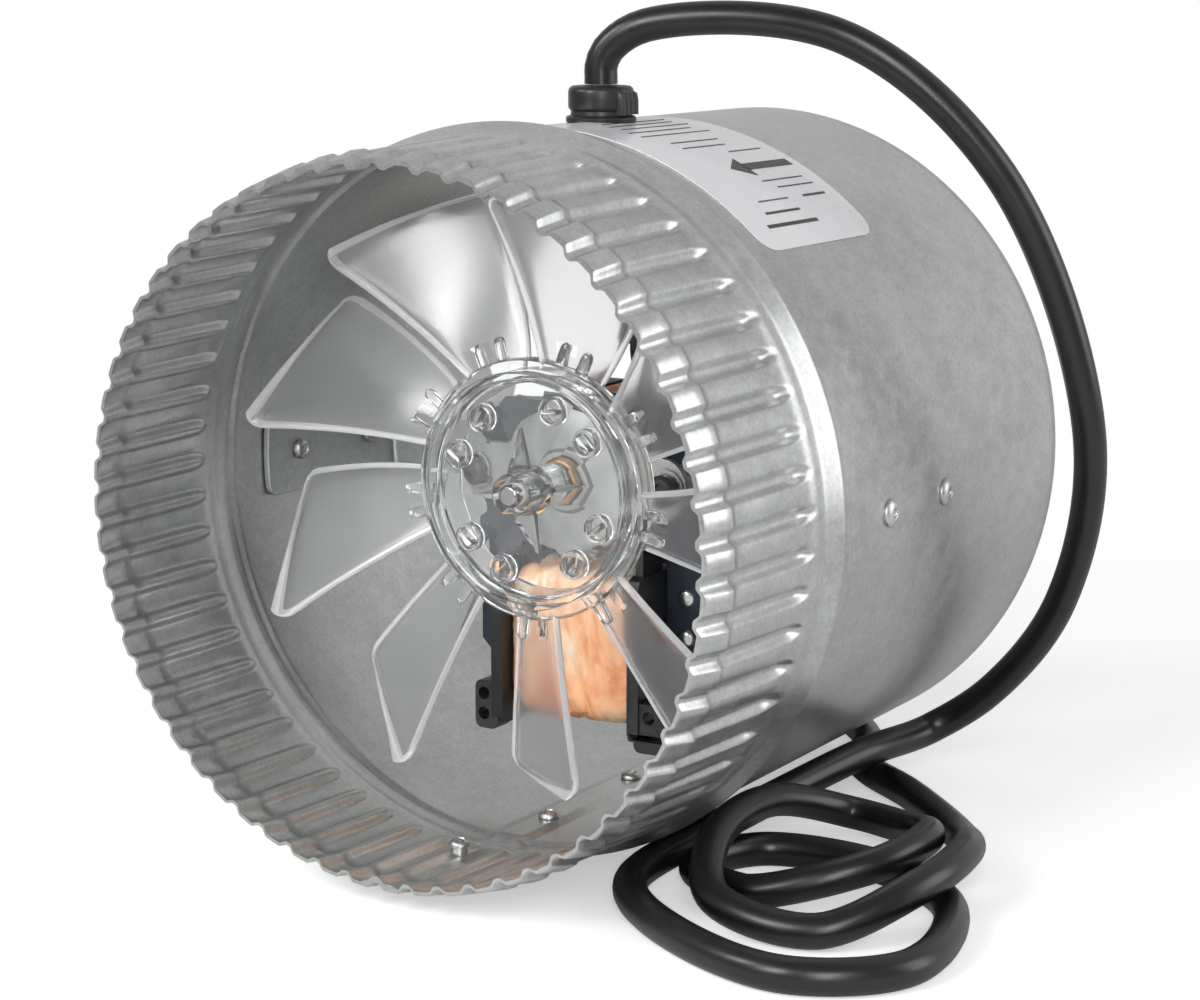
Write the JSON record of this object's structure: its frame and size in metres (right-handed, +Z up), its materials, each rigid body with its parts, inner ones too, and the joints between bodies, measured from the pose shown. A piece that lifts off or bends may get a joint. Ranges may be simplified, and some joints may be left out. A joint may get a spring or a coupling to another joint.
{
  "type": "inline duct fan",
  "caption": "Inline duct booster fan: crimped and beaded round sheet-metal duct section with a shaded-pole motor on a strap, a clear axial impeller and a mains cord.",
  "frame": {"origin": "On the surface the fan lies on, below the middle of the duct section", "axes": "+Y along the duct axis from the crimped outlet end to the plain inlet end, +Z up with the cord entry on top, +X to the right seen from the outlet"},
  "size_m": [0.2181, 0.2886, 0.1793],
  "materials": {
    "galvanised_sheet": "spangled galvanised, satin",
    "strap_steel": "zinc plated, satin",
    "rivet": "bright",
    "label_paper": "glossy blank label",
    "black_nylon": "satin moulded",
    "lamination": "steam blued",
    "coil_tape": "wrapped polyester tape",
    "copper": "dull copper",
    "cast_bracket": "as cast",
    "bronze": "sintered, oiled",
    "rotor_steel": "ground",
    "rotor_alloy": "cast",
    "bright_steel": "ground",
    "washer_steel": "plated",
    "black_screw": "black oxide",
    "black_rubber": "matte",
    "clear_plastic": "clear moulded",
    "cord_jacket": "satin black",
    "lead_jacket": "satin black",
    "plug_brass": "bright"
  },
  "bodies": {
    "duct": {"housing": "galvanised_sheet", "motor_bracket": "strap_steel", "label": "label_paper", "strain_relief_body": "black_nylon", "strain_relief_wedge": "black_nylon", "stator_core": "lamination", "stator_bar": "lamination", "bobbin": "black_nylon", "coil_winding": "coil_tape", "shading_ring_1": "copper", "shading_ring_2": "copper", "bearing_bracket_front": "cast_bracket", "bearing_bracket_rear": "cast_bracket", "bearing_front": "bronze", "bearing_rear": "bronze", "cord": "cord_jacket", "cord_tail": "cord_jacket", "lead_1": "lead_jacket", "lead_2": "lead_jacket", "plug_body": "cord_jacket", "cord_coil": "cord_jacket", "cord_end": "cord_jacket", "cord_tie": "black_rubber", "bracket_rivet_1": "rivet", "bracket_rivet_2": "rivet", "bracket_rivet_3": "rivet", "bracket_rivet_4": "rivet", "seam_rivet_1": "rivet", "seam_rivet_2": "rivet", "seam_rivet_3": "rivet", "seam_rivet_4": "rivet", "plug_pin_1": "plug_brass", "plug_pin_2": "plug_brass", "plug_pin_3": "plug_brass", "motor_screw_1": "black_screw", "motor_washer_1": "washer_steel", "grommet_1": "black_rubber", "motor_nut_1": "bright_steel", "motor_screw_2": "black_screw", "motor_washer_2": "washer_steel", "grommet_2": "black_rubber", "motor_nut_2": "bright_steel"},
    "rotor": {"impeller": "clear_plastic", "shaft": "bright_steel", "rotor_core": "rotor_steel", "end_ring_front": "rotor_alloy", "end_ring_rear": "rotor_alloy", "thrust_washer_front": "black_nylon", "thrust_washer_rear": "black_nylon"}
  },
  "joints": [
    {"name": "rotor_spin", "type": "hinge", "parent": "duct", "child": "rotor", "pos_m": [0, 0, 0.078], "axis": [0, 1, 0], "continuous": true}
  ]
}
